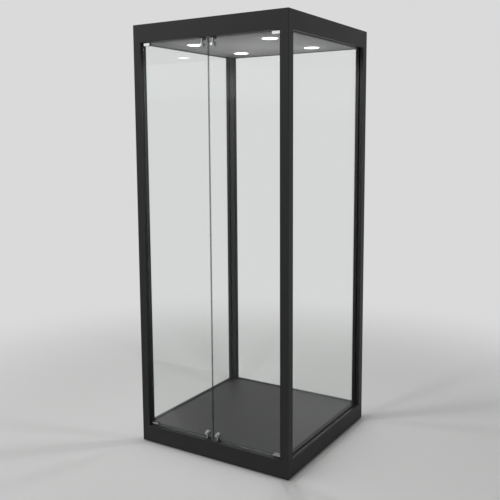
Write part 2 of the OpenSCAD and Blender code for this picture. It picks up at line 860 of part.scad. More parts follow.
module lamp_wiring() {
    steps = 16;
    lead_run = 20;                             // from a lamp to where its lead lies straight
    lead_rise = 12;                            // before the ear, where the lead climbs
    driver_side = driver_size[0] / 2;
    driver_front = driver_y - driver_size[1] / 2;
    driver_back = driver_y + driver_size[1] / 2;
    driver_top = fascia_z + board_t + driver_size[2];
    front_lead_x = 30;
    side_lead_z = lead_z + driver_ear_t + 1;   // over the driver's ear
    lamp_edge = lamp_body_d / 2 - EPS;
    color(NYLON) {
        for (m = [0, 1]) mirror([m, 0, 0]) {
            lead([[lamp_x - lamp_edge, lamp_y, lead_z], [lamp_x - lamp_edge - lead_run, driver_y, lead_z],
                  [driver_side + driver_ear + lead_rise, driver_y, side_lead_z],
                  [driver_side, driver_y, side_lead_z]], lead_d);
            lead(eased([lamp_x, -lamp_y + lamp_edge, lead_z], [front_lead_x, driver_front, lead_z], steps),
                 lead_d);
        }
        lead(eased([0, driver_back, driver_top - driver_size[2] / 2],
                   [0, case_d / 2 - inlet_len, inlet_z], steps),
             mains_d);
    }
}

// Two-pin inlet through the rear fascia, flush with its outer face
module inlet_cutout() {
    at_side(2) translate([-inlet_w / 2, -1, inlet_z - fascia_z - inlet_h / 2])
        cube([inlet_w, profile_w + 2, inlet_h]);
    at_side(2) translate([-inlet_w / 2 - inlet_flange, -1, inlet_z - fascia_z - inlet_h / 2 - inlet_flange])
        cube([inlet_w + 2 * inlet_flange, inlet_flange_t + 1, inlet_h + 2 * inlet_flange]);
}

module power_inlet() {
    fit = 0.15;                                // clearance in the cut-out
    color(NYLON) top_frame() at_side(2) translate([0, 0, inlet_z - fascia_z]) {
        difference() {
            union() {
                translate([-inlet_w / 2 + fit, 0, -inlet_h / 2 + fit])
                    cube([inlet_w - 2 * fit, inlet_len, inlet_h - 2 * fit]);
                translate([-inlet_w / 2 - inlet_flange + fit, 0, -inlet_h / 2 - inlet_flange + fit])
                    cube([inlet_w + 2 * (inlet_flange - fit),
                          inlet_flange_t,
                          inlet_h + 2 * (inlet_flange - fit)]);
            }
            translate([-inlet_slot[0] / 2, -1, -inlet_slot[1] / 2])
                cube([inlet_slot[0], inlet_slot[2] + 1, inlet_slot[1]]);
        }
        for (i = [-1, 1])
            translate([i * inlet_pin_pitch / 2, inlet_slot[2] + EPS, 0])
                rotate([90, 0, 0]) cylinder(d = inlet_pin_d, h = inlet_pin_l);
    }
}

// ---------------------------------------------------------------- feet

module each_foot() for (sx = [-1, 1], sy = [-1, 1]) translate([sx * foot_x, sy * foot_y, 0]) children();

module levelling_foot() {
    rotate_extrude() difference() {
        union() {
            square([foot_d / 2, foot_pad_h]);
            square([stud_d / 2, foot_stud_top]);
            translate([0, bracket_z - nut_h]) square([nut_d / 2, nut_h]);
        }
        translate([foot_d / 2, foot_pad_h]) rotate(180) corner_waste(foot_soft);
    }
}

module levelling_feet() color(STEEL) each_foot() levelling_foot();

// Gusset in a corner of the plinth, screwed to both rails, with the foot's threaded boss
module foot_bracket() {
    back = profile_w;                          // inner faces of the rails
    difference() {
        union() {
            translate([0, 0, bracket_z]) linear_extrude(bracket_t)
                polygon([[back, back], [back + bracket_leg, back],
                         [back + bracket_leg, back + bracket_ear_t],
                         [back + bracket_ear_t, back + bracket_leg], [back, back + bracket_leg]]);
            translate([back, back, bracket_z]) cube([bracket_leg, bracket_ear_t, bracket_ear_h]);
            translate([back, back, bracket_z]) cube([bracket_ear_t, bracket_leg, bracket_ear_h]);
            translate([foot_in, foot_in, bracket_z]) cylinder(d = foot_boss_d, h = bracket_t + foot_boss_h);
        }
        translate([foot_in, foot_in, bracket_z - 1])
            cylinder(d = stud_d + 2 * screw_gap, h = bracket_t + foot_boss_h + 2);
    }
}

module foot_brackets() color(STEEL) each_corner() foot_bracket();

// ---------------------------------------------------------------- nodes

base_rail(0);  // base_rail_front
base_rail(2);  // base_rail_back
base_rail(3);  // base_rail_left
base_rail(1);  // base_rail_right
top_rail(0);  // top_rail_front
top_rail(2);  // top_rail_back
top_rail(3);  // top_rail_left
top_rail(1);  // top_rail_right
post(-1, -1);  // post_front_left
post(1, -1);  // post_front_right
post(-1, 1);  // post_rear_left
post(1, 1);  // post_rear_right
corner_cleats();
post_screws();
deck_board();
ceiling_board();
board_screws();
roof_sheet();
left_glass();
right_glass();
back_glass();
left_gasket();
right_gasket();
back_gasket();
pivot_bushes();
door_stops();
lamp_housings();
lamp_lenses();
led_driver();
lamp_wiring();
power_inlet();
levelling_feet();
foot_brackets();
door_glass();  // left_door_glass
pivot_clips();  // left_pivot_clips
pivot_pins();  // left_pivot_pins
clip_pads();  // left_clip_pads
door_screws();  // left_door_screws
upper_end() lock_housing();  // left_upper_lock_housing
lock_housing();  // left_lower_lock_housing
lock_covers();  // left_lock_covers
lock_rosettes();  // left_lock_rosettes
upper_end() lock_plug();  // left_upper_lock_plug
lock_plug();  // left_lower_lock_plug
upper_end() lock_bolt();  // left_upper_lock_bolt
lock_bolt();  // left_lower_lock_bolt
right_half() door_glass();  // right_door_glass
right_half() pivot_clips();  // right_pivot_clips
right_half() pivot_pins();  // right_pivot_pins
right_half() clip_pads();  // right_clip_pads
right_half() door_screws();  // right_door_screws
right_half() upper_end() lock_housing();  // right_upper_lock_housing
right_half() lock_housing();  // right_lower_lock_housing
right_half() lock_covers();  // right_lock_covers
right_half() lock_rosettes();  // right_lock_rosettes
right_half() upper_end() lock_plug();  // right_upper_lock_plug
right_half() lock_plug();  // right_lower_lock_plug
right_half() upper_end() lock_bolt();  // right_upper_lock_bolt
right_half() lock_bolt();  // right_lower_lock_bolt
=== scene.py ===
"""Dresses a glass display case: powder-coated frame, clear panes, chrome fittings and lit lamps.

Sizes come from the loaded frame, the property groups and the named values below. Lengths are metres.
"""
import json
import math

import bmesh
import bpy
import numpy as np
from bpy.props import FloatProperty, FloatVectorProperty, IntProperty, PointerProperty
from mathutils import Matrix, Vector

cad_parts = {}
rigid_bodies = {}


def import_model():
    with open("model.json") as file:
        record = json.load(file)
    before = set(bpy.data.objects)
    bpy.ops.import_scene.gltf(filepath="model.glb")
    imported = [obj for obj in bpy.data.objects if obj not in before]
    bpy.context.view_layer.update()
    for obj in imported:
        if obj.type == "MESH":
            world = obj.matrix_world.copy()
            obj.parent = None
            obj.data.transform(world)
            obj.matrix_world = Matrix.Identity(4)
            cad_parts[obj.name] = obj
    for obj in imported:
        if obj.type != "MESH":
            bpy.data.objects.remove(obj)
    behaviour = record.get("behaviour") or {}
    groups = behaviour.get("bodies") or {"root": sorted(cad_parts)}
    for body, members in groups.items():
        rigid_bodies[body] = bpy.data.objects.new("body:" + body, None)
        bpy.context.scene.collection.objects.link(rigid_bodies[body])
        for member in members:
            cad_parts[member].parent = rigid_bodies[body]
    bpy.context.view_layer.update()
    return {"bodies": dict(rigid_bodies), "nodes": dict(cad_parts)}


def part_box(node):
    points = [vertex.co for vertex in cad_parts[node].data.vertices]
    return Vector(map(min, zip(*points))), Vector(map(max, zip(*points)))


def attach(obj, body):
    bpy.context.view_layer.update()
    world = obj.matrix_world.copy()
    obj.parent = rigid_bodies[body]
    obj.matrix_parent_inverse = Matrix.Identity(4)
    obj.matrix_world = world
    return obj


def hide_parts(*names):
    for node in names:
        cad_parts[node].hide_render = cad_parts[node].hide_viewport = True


bl_info = {
    "name": "Glass display case",
    "version": (1, 0, 0),
    "blender": (4, 5, 0),
    "location": "View3D > Sidebar > Display Case",
    "description": "Finishes and fine parts of a lit glass display case",
    "category": "Object",
}

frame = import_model()
TAU = 2 * math.pi
MM = 0.001
WALL_TONE = (0.70, 0.70, 0.70)
SOFT_TONE = (0.38, 0.38, 0.38)
SOFT_SHADE = (0.20, 0.20, 0.20)
SHADE_FROM = 0.6                    # rightward part of a direction where the soft light is weakest
FLOOR_FADE = (0.9, 3.0)             # from the middle, where the floor begins and ends its fade

SIDES = (("left", -1), ("right", 1))
ENDS = ("lower", "upper")
CORNERS = [(sx, sy) for sx in (-1, 1) for sy in (-1, 1)]
FRAME_NODES = [
    f"{level}_rail_{side}" for level in ("base", "top") for side in ("front", "back", "left", "right")
] + [f"post_{corner}" for corner in ("front_left", "front_right", "rear_left", "rear_right")] + ["roof_sheet"]


# ---------------------------------------------------------------- sizes taken from the frame


def low(node):
    """Lowest corner of a CAD node as an array."""
    return np.array(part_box(node)[0])


def high(node):
    """Highest corner of a CAD node as an array."""
    return np.array(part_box(node)[1])


HALF_WIDTH = high("post_front_right")[0]
PLINTH_Z = low("post_front_left")[2]
FASCIA_Z = high("post_front_left")[2]
MID_Z = (PLINTH_Z + FASCIA_Z) / 2
POST_W = high("post_front_left")[0] - low("post_front_left")[0]
OPENING_HALF = HALF_WIDTH - POST_W
GLASS_FRONT = low("left_door_glass")[1]
LOCK_X = -(low("left_lower_lock_housing")[0] + high("left_lower_lock_housing")[0]) / 2
LOCK_R = (high("left_lower_lock_housing")[0] - low("left_lower_lock_housing")[0]) / 2
LOCK_Z = high("left_lower_lock_housing")[2] - LOCK_R
NECK_Z = low("left_lower_lock_housing")[2]
LOCK_FRONT = low("left_lower_lock_housing")[1]

EDGE_FADE = (1.2 * MM, 0.5 * MM)    # from a pane's outline, where its ground edge begins and is full
LAMP_DROP = 34 * MM                 # of the lamps' spotlights below the ceiling
LAMP_SOFT = 28 * MM                 # radius of the spotlights' source
GLOW_DROP = 0.36                    # of the upward glow below the ceiling
LIP_PROUD = 1.0 * MM                # of a gasket's lips out of their groove
BOSS_WALL = 1.95 * MM               # wall of a lock's boss
WAY_OUT_HALF_ANGLE = 22             # degrees to each side of the bolt that the drum's wall leaves open
WAY_OUT_GAP = 0.3 * MM              # between the bolt and the drum's wall
BOLT_GAP = 0.1 * MM                 # between the bolt and its neck
NECK_CORNER = 1.34                  # reach of the neck's square corners, in neck radii
NECK_SET = 0.8 * MM                 # depth of the neck's upper end in the drum's wall
TRIM_FLANGE = 5 * MM                # of a lamp's trim beyond its body
LENS_LEDGE = 4 * MM                 # under a lens
WELL_HEIGHT = 6 * MM                # of a lamp's well above the ceiling's underside
FIN_START = 1 * MM                  # of a lamp's fins above the ceiling board
FIN_DEPTH = 8 * MM
FIN_SLOT = (0.70, 0.06)             # where a slot begins on the fins' wave, and how far it takes to deepen
NUT_HEIGHT = 6 * MM
NUT_HALF = 6.9 * MM
STUD_R = 4 * MM
THREAD_STEP = 0.625 * MM
THREAD_DEPTH = 0.45 * MM
THREAD_RUNOUT = 1 * MM              # plain stud at each end of the thread
KNURL_DEPTH = 0.35 * MM


# ---------------------------------------------------------------- user settings


class CaseFinishes(bpy.types.PropertyGroup):
    """Colours of the case's parts."""

    coat: FloatVectorProperty(
        name="Powder coat", description="Colour of the frame", subtype="COLOR", size=3,
        default=(0.0170, 0.0168, 0.0170), min=0.0, max=1.0)
    deck: FloatVectorProperty(
        name="Deck", description="Colour of the deck's laminate", subtype="COLOR", size=3,
        default=(0.030, 0.030, 0.030), min=0.0, max=1.0)
    ceiling: FloatVectorProperty(
        name="Ceiling", description="Colour of the ceiling's laminate", subtype="COLOR", size=3,
        default=(0.075, 0.075, 0.075), min=0.0, max=1.0)
    glass: FloatVectorProperty(
        name="Glass", description="Tint of light that passes one face of a pane", subtype="COLOR", size=3,
        default=(0.988, 0.993, 0.990), min=0.0, max=1.0)
    lamp: FloatVectorProperty(
        name="Lamp light", description="Colour of the lamps", subtype="COLOR", size=3,
        default=(1.0, 0.985, 0.955), min=0.0, max=1.0)
    lamp_strength: FloatProperty(
        name="Lamp strength", description="Brightness of the lit lenses", default=4.0, min=0.0, max=100.0)


class CaseDetail(bpy.types.PropertyGroup):
    """Sizes of the fine forms."""

    edge: FloatProperty(
        name="Frame edge", description="Softening of the sawn and extruded edges", subtype="DISTANCE",
        unit="LENGTH", default=0.0006, min=0.0001, max=0.002)
    arris: FloatProperty(
        name="Glass arris", description="Ground corner along the edges of the glass", subtype="DISTANCE",
        unit="LENGTH", default=0.0006, min=0.0002, max=0.0015)
    fitting_edge: FloatProperty(
        name="Fitting edge", description="Polished edge of clips and small fittings", subtype="DISTANCE",
        unit="LENGTH", default=0.0008, min=0.0002, max=0.002)
    lamp_radius: FloatProperty(
        name="Lamp radius", description="Outer radius of a lamp's trim", subtype="DISTANCE", unit="LENGTH",
        default=0.039, min=0.02, max=0.05)
    foot_radius: FloatProperty(
        name="Foot radius", description="Radius of a foot's pad", subtype="DISTANCE", unit="LENGTH",
        default=0.020, min=0.01, max=0.03)
    lock_drum: FloatProperty(
        name="Lock depth", description="Depth of a lock's round housing without its boss", subtype="DISTANCE",
        unit="LENGTH", default=0.010, min=0.008, max=0.012)
    lock_boss: FloatProperty(
        name="Lock boss", description="Radius of the boss round a lock's plug", subtype="DISTANCE",
        unit="LENGTH", default=0.0065, min=0.005, max=0.008)
    lock_wall: FloatProperty(
        name="Lock wall", description="Wall of a lock's housing", subtype="DISTANCE", unit="LENGTH",
        default=0.0015, min=0.001, max=0.002)
    neck_radius: FloatProperty(
        name="Bolt guide", description="Radius of the neck that guides a bolt", subtype="DISTANCE",
        unit="LENGTH", default=0.00425, min=0.003, max=0.006)
    knurls: IntProperty(
        name="Knurls", description="Grooves round the rim of a foot pad", default=48, min=12, max=96)
    fins: IntProperty(
        name="Lamp fins", description="Cooling fins round a lamp", default=12, min=6, max=24)


class CaseView(bpy.types.PropertyGroup):
    """Where the camera stands. Angles are measured round +Z from the front, looking at the case."""

    distance: FloatProperty(
        name="Distance", description="Camera's level distance from the middle of the case",
        subtype="DISTANCE", unit="LENGTH", default=3.39831, min=1.0, max=10.0)
    height: FloatProperty(
        name="Height", description="Camera's height above the floor", subtype="DISTANCE", unit="LENGTH",
        default=1.46369, min=0.1, max=4.0)
    bearing: FloatProperty(
        name="Bearing", description="Where the camera stands, to the right of the front", subtype="ANGLE",
        unit="ROTATION", default=math.radians(31.215))
    heading: FloatProperty(
        name="Heading", description="Which way the camera looks", subtype="ANGLE", unit="ROTATION",
        default=math.radians(32.062))
    tilt: FloatProperty(
        name="Tilt", description="How far the camera looks down", subtype="ANGLE", unit="ROTATION",
        default=math.radians(7.176))
    roll: FloatProperty(
        name="Roll", description="Turn of the camera about its own line of sight", subtype="ANGLE",
        unit="ROTATION", default=math.radians(-0.398))
    lens: FloatProperty(
        name="Lens", description="Focal length in millimetres", default=50.71, min=10, max=200)
    shift_x: FloatProperty(name="Shift across", description="Sideways shift of the picture", default=0.01)
    shift_y: FloatProperty(name="Shift up", description="Upward shift of the picture", default=-0.05)


# ---------------------------------------------------------------- shader maths


class Signal:
    """A number that runs through a material: arithmetic on it adds the Math nodes that do the sum."""

    def __init__(self, material, socket):
        self.material = material
        self.socket = socket

    def _sum(self, operation, *others):
        return self.material.maths(operation, *others)

    def __add__(self, other):
        return self._sum("ADD", self, other)

    def __radd__(self, other):
        return self._sum("ADD", other, self)

    def __sub__(self, other):
        return self._sum("SUBTRACT", self, other)

    def __mul__(self, other):
        return self._sum("MULTIPLY", self, other)

    def __rmul__(self, other):
        return self._sum("MULTIPLY", other, self)

    def __truediv__(self, other):
        return self._sum("DIVIDE", self, other)

    def __pow__(self, other):
        return self._sum("POWER", self, other)

    def __abs__(self):
        return self._sum("ABSOLUTE", self)

    def larger(self, other):
        return self._sum("MAXIMUM", self, other)

    def smaller(self, other):
        return self._sum("MINIMUM", self, other)

    def ramp(self, start, stop):
        """0 at start and 1 at stop, eased at both ends; start may be the larger."""
        return self.material.node(
            "ShaderNodeMapRange", {"interpolation_type": "SMOOTHSTEP"},
            {"Value": self, "From Min": start, "From Max": stop}, "Result")


class Finish:
    """A material under construction."""

    def __init__(self, name):
        self.data = bpy.data.materials.new(name)
        self.data.use_nodes = True
        self.tree = self.data.node_tree
        self.tree.nodes.clear()
        self.place = self.node("ShaderNodeTexCoord", {}, {}, "Object")

    def node(self, kind, settings, inputs, output=0):
        """Adds a node, sets it, feeds its sockets and returns one of its outputs as a Signal."""
        made = self.tree.nodes.new(kind)
        for key, value in settings.items():
            setattr(made, key, value)
        for key, value in inputs.items():
            if isinstance(value, Signal):
                self.tree.links.new(value.socket, made.inputs[key])
            else:
                made.inputs[key].default_value = value
        return Signal(self, made.outputs[output])

    def maths(self, operation, *values):
        return self.node("ShaderNodeMath", {"operation": operation}, dict(enumerate(values)))

    def axes(self):
        """The three object coordinates, in metres."""
        split = self.node("ShaderNodeSeparateXYZ", {}, {"Vector": self.place}).socket.node
        return [Signal(self, split.outputs[axis]) for axis in "XYZ"]

    def noise(self, scale, detail=2.0, rough=0.5, stretch=(1, 1, 1)):
        """Noise from 0 to 1 with scale features per metre, drawn out along the axes by stretch."""
        place = self.node("ShaderNodeMapping", {}, {"Vector": self.place, "Scale": stretch})
        return self.node(
            "ShaderNodeTexNoise", {},
            {"Vector": place, "Scale": scale, "Detail": detail, "Roughness": rough})

    def blend(self, first, second, share):
        """Colour between first and second, each a Signal or a plain colour of three or four channels."""
        made = self.tree.nodes.new("ShaderNodeMix")
        made.data_type = "RGBA"
        for key, value in (("Factor_Float", share), ("A_Color", first), ("B_Color", second)):
            socket = next(s for s in made.inputs if s.identifier == key)
            if isinstance(value, Signal):
                self.tree.links.new(value.socket, socket)
            else:
                socket.default_value = (*value, 1.0)[:4]
        return Signal(self, next(s for s in made.outputs if s.identifier == "Result_Color"))

    def bump(self, height, depth):
        """Normal of a surface whose height runs from 0 to depth metres."""
        return self.node(
            "ShaderNodeBump", {}, {"Height": height, "Distance": depth, "Strength": 1.0}, "Normal")

    def surface(self, **inputs):
        """A Principled shader whose sockets take the given values; _ stands for a space in a name."""
        plain = {key.replace("_", " "): value for key, value in inputs.items()}
        for key in ("Base Color", "Emission Color"):
            if key in plain and not isinstance(plain[key], Signal):
                plain[key] = (*plain[key], 1.0)[:4]
        return self.node("ShaderNodeBsdfPrincipled", {}, plain)

    def done(self, shader):
        """Ends the material in this shader and returns it."""
        out = self.tree.nodes.new("ShaderNodeOutputMaterial")
        self.tree.links.new(shader.socket, out.inputs["Surface"])
        return self.data


def tone(colour, factor):
    """A colour made lighter or darker by a factor."""
    return tuple(min(1.0, channel * factor) for channel in colour[:3])


# ---------------------------------------------------------------- finishes


def powder_coat(colour):
    """Fine matt coat: orange-peel bump, speckle, a painted highlight along the outer corners and faint dust
    low down.
    """
    m = Finish("powder_coat")
    x, y, z = m.axes()
    peel = m.noise(520.0, 3.0, 0.55)
    speckle = m.noise(1900.0, 1.0)
    cloud = m.noise(4.0, 3.0)
    # Mask of the outer corners: the painted highlight lies there, and the coat is a little smoother there.
    corner = abs(x).smaller(abs(y)).ramp(HALF_WIDTH - 2.2 * MM, HALF_WIDTH - 0.6 * MM)
    dust = z.ramp(0.11, 0.0) * cloud
    shade = m.blend(tone(colour, 0.88), tone(colour, 1.14), cloud * 0.6 + speckle * 0.4)
    # Painted highlight: the coat is lightened 1.6 times along the outer corners, as if they caught the light.
    shade = m.blend(shade, tone(colour, 1.6), corner * 0.55)
    shade = m.blend(shade, (0.16, 0.15, 0.14), dust * 0.10)
    rough = 0.44 + 0.14 * cloud + 0.10 * dust - 0.08 * corner
    return m.done(m.surface(
        Base_Color=shade, Roughness=rough, Specular_IOR_Level=0.25,
        Normal=m.bump(peel * 0.75 + speckle * 0.25, 0.00009)))


def laminate(name, colour, grain):
    """Board laminate: soft mottle with a fine leathery grain and a few faint drawn marks."""
    m = Finish(name)
    mottle = m.noise(9.0, 4.0, 0.6)
    fine = m.noise(900.0, 2.0)
    marks = m.noise(55.0, 2.0, 0.5, (1.0, 0.05, 1.0)).ramp(0.62, 0.78)
    shade = m.blend(tone(colour, 0.90), tone(colour, 1.10), mottle * 0.6 + fine * 0.4)
    shade = m.blend(shade, tone(colour, 1.25), marks * 0.12)
    return m.done(m.surface(
        Base_Color=shade, Roughness=0.52 + 0.16 * mottle - 0.05 * marks, Specular_IOR_Level=0.38,
        Normal=m.bump(fine, grain)))


def clear_glass(name, tint, edge_mask):
    """Float glass: clear where it is looked through, mirror-like at a slant, and green along its edges."""
    m = Finish(name)
    smear = m.noise(3.2, 4.0, 0.6, (1.0, 1.0, 0.4)).ramp(0.45, 0.85)
    fresnel = m.node("ShaderNodeFresnel", {}, {"IOR": 1.46})
    ground = m.noise(420.0, 2.0, 0.5, (0.04, 0.04, 0.04))
    gloss = m.surface(
        Base_Color=m.blend((0.018, 0.038, 0.032), (0.030, 0.056, 0.048), ground),
        Roughness=0.10 + 0.12 * ground, Specular_IOR_Level=0.5)
    shine = m.surface(Base_Color=(0.96, 0.98, 0.97), Metallic=1.0, Roughness=0.02 + 0.05 * smear)
    through = m.node("ShaderNodeBsdfTransparent", {}, {"Color": (*tint, 1.0)})
    face = m.node(
        "ShaderNodeMixShader", {}, {0: (fresnel * 0.10 + 0.001 + 0.002 * smear), 1: through, 2: shine})
    whole = m.node("ShaderNodeMixShader", {}, {0: edge_mask(m) * 0.72, 1: face, 2: gloss})
    return m.done(whole)


def pane_edges(axis, half_width, bottom, top):
    """Mask of the ground edges of an upright pane: 1 within half a millimetre of its outline."""
    begin, full = EDGE_FADE

    def mask(m):
        across = m.axes()[axis]
        z = m.axes()[2]
        sides = abs(across).ramp(half_width - begin, half_width - full)
        head = z.ramp(top - begin, top - full)
        foot = z.ramp(bottom + begin, bottom + full)
        return sides.larger(head).larger(foot)
    return mask


def door_edges(side):
    """Mask of a door's ground edges; the meeting edge stands near the middle of the case."""
    node = f"{side}_door_glass"
    inner = min(abs(low(node)[0]), abs(high(node)[0]))
    outer = max(abs(low(node)[0]), abs(high(node)[0]))
    bottom, top = low(node)[2], high(node)[2]
    begin, full = EDGE_FADE

    def mask(m):
        x, _, z = m.axes()
        meeting = abs(x).ramp(inner + begin, inner + full)
        hinge = abs(x).ramp(outer - begin, outer - full)
        ends = z.ramp(top - begin, top - full).larger(z.ramp(bottom + begin, bottom + full))
        return meeting.larger(hinge).larger(ends)
    return mask


def metal(name, colour, rough, brushed=0.0, wear=0.2):
    """Metal with a faint tarnish; brushed draws its grain out sideways by that depth in metres."""
    m = Finish(name)
    tarnish = m.noise(70.0, 4.0, 0.6)
    grain = m.noise(1400.0, 2.0, 0.5, (0.06, 1.0, 1.0))
    shade = m.blend(tone(colour, 1.0 - wear), tone(colour, 1.06), tarnish)
    settings = {"Base_Color": shade, "Metallic": 1.0, "Roughness": rough * 0.7 + rough * 0.6 * tarnish}
    if brushed:
        settings["Normal"] = m.bump(grain, brushed)
    return m.done(m.surface(**settings))


def plastic(name, colour, rough, texture=0.00004):
    """Moulded plastic or rubber: spark-eroded texture and a slight bloom."""
    m = Finish(name)
    bloom = m.noise(14.0, 4.0, 0.6)
    spark = m.noise(1500.0, 2.0)
    shade = m.blend(tone(colour, 0.85), tone(colour, 1.25), bloom)
    return m.done(m.surface(
        Base_Color=shade, Roughness=rough + 0.12 * bloom, Specular_IOR_Level=0.4,
        Normal=m.bump(spark, texture)))


def lit_lens(colour, strength, centres, radius):
    """Frosted lens, hottest over the light source in the middle and softer at its rim."""
    m = Finish("lit_lens")
    x, y, _ = m.axes()
    reach = None
    for cx, cy in centres:
        here = ((x - cx) ** 2 + (y - cy) ** 2) ** 0.5
        reach = here if reach is None else reach.smaller(here)
    core = (reach / radius).ramp(1.0, 0.35)
    frost = m.noise(700.0, 2.0)
    glow = m.blend(tone(colour, 0.72), colour, core)
    return m.done(m.surface(
        Base_Color=m.blend((0.80, 0.79, 0.76), (0.90, 0.89, 0.86), frost), Roughness=0.45 + 0.1 * frost,
        Emission_Color=glow, Emission_Strength=strength, Normal=m.bump(frost, 0.00003)))


# ---------------------------------------------------------------- surfaces


def arc(centre, radius, start, stop, steps):
    """Points of an arc in the plane, from start to stop degrees about its centre."""
    angles = np.radians(np.linspace(start, stop, steps))
    return np.column_stack((centre[0] + radius * np.cos(angles), centre[1] + radius * np.sin(angles)))


def softened(corners, radii, steps=5):
    """A closed outline whose corners are rounded.

    Each corner is cut back along both its sides by radius * tan(half the turn), and a quadratic curve
    with the corner as its middle handle joins the two cuts.
    """
    corners = np.asarray(corners, dtype=float)
    radii = np.broadcast_to(np.asarray(radii, dtype=float), (len(corners),))
    back = np.roll(corners, 1, axis=0) - corners
    on = np.roll(corners, -1, axis=0) - corners
    back /= np.linalg.norm(back, axis=1)[:, None]
    on /= np.linalg.norm(on, axis=1)[:, None]
    inside = np.arccos(np.clip((back * on).sum(axis=1), -1, 1))
    cut = (radii / np.tan(inside / 2))[:, None]
    t = np.linspace(0, 1, steps)[None, :, None]
    p, q, r = corners + back * cut, corners, corners + on * cut
    curve = (1 - t) ** 2 * p[:, None] + 2 * t * (1 - t) * q[:, None] + t ** 2 * r[:, None]
    return curve.reshape(-1, 2)


def grid_faces(rows, columns, close_rows, close_columns):
    """Quads of a grid of points; a closed direction joins its last line to its first."""
    i, j = np.meshgrid(
        np.arange(rows if close_rows else rows - 1),
        np.arange(columns if close_columns else columns - 1), indexing="ij")
    i, j = i.ravel(), j.ravel()
    ni, nj = (i + 1) % rows, (j + 1) % columns
    return np.column_stack((i * columns + j, ni * columns + j, ni * columns + nj, i * columns + nj))


def lathe(profile, segments, shape=None):
    """Surface of revolution about local Z: a closed (radius, height) outline turned through a full circle.

    shape, where given, takes the angle of each line and the outline, and returns the radii to use.
    """
    angle = np.arange(segments) * TAU / segments
    radius = np.broadcast_to(profile[None, :, 0], (segments, len(profile)))
    if shape is not None:
        radius = shape(angle[:, None], profile)
    points = np.stack((
        radius * np.cos(angle)[:, None], radius * np.sin(angle)[:, None],
        np.broadcast_to(profile[None, :, 1], radius.shape)), axis=-1)
    return points.reshape(-1, 3), grid_faces(segments, len(profile), True, True)


def frame_sweep(section, half_width, bottom, top):
    """A closed outline carried round an upright rectangle with mitred corners.

    The outline's first number points out of the rectangle and its second across it; local X runs along
    the rectangle's width, local Y across it and Z up.
    """
    corner = np.array([(-1, bottom, -1), (1, bottom, -1), (1, top, 1), (-1, top, 1)], dtype=float)
    out, across = section[None, :, 0], section[None, :, 1]
    points = np.stack((
        corner[:, 0:1] * (half_width + out), np.broadcast_to(across, (4, len(section))),
        corner[:, 1:2] + corner[:, 2:3] * out), axis=-1)
    return points.reshape(-1, 3), grid_faces(4, len(section), True, True)


def moved(shape, matrix):
    """A shape carried by a 4 x 4 matrix."""
    points, faces = shape
    matrix = np.array(matrix)
    return points @ matrix[:3, :3].T + matrix[:3, 3], faces


def together(shapes):
    """Several shapes as one."""
    points, faces, count = [], [], 0
    for part_points, part_faces in shapes:
        points.append(part_points)
        faces.extend([[v + count for v in f] for f in np.asarray(part_faces, dtype=object).tolist()])
        count += len(part_points)
    return np.concatenate(points), faces


def upper_end():
    """Mirrors a shape at a door's lower end to its upper end."""
    return Matrix.Translation((0, 0, 2 * MID_Z)) @ Matrix.Diagonal((1, 1, -1, 1))


def mirror_x():
    """Mirrors the left half to the right."""
    return Matrix.Diagonal((-1, 1, 1, 1))


def piece(name, shape, material, body, nodes=(), angle=32.0):
    """Makes a shape an object that rides on a body and, where nodes are named, stands for them."""
    points, faces = shape
    mesh = bpy.data.meshes.new(name)
    mesh.from_pydata(points, [], faces if isinstance(faces, list) else faces.tolist())
    work = bmesh.new()
    work.from_mesh(mesh)
    bmesh.ops.remove_doubles(work, verts=work.verts, dist=1e-7)
    bmesh.ops.dissolve_degenerate(work, edges=work.edges, dist=1e-8)
    bmesh.ops.recalc_face_normals(work, faces=work.faces)
    work.to_mesh(mesh)
    work.free()
    mesh.shade_smooth()
    mesh.set_sharp_from_angle(angle=math.radians(angle))
    mesh.materials.append(material)
    made = bpy.data.objects.new(name, mesh)
    bpy.context.collection.objects.link(made)
    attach(made, body)
    if nodes:
        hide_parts(*nodes)
    return made


def dress(node, material, edge=0.0, steps=2):
    """Gives a CAD node its finish and, where edge is given, softens its edges by that width."""
    made = frame["nodes"][node]
    if not made.material_slots:
        made.data.materials.append(material)
    for holder in made.material_slots:
        holder.material = material
    if edge:
        weld = made.modifiers.new("joined", "WELD")
        weld.merge_threshold = 1e-5
        bevel = made.modifiers.new("soft_edges", "BEVEL")
        bevel.width = edge
        bevel.segments = steps
        bevel.limit_method = "ANGLE"
        bevel.angle_limit = math.radians(40)
        bevel.use_clamp_overlap = True
        bevel.harden_normals = False
    return made


# ---------------------------------------------------------------- operators


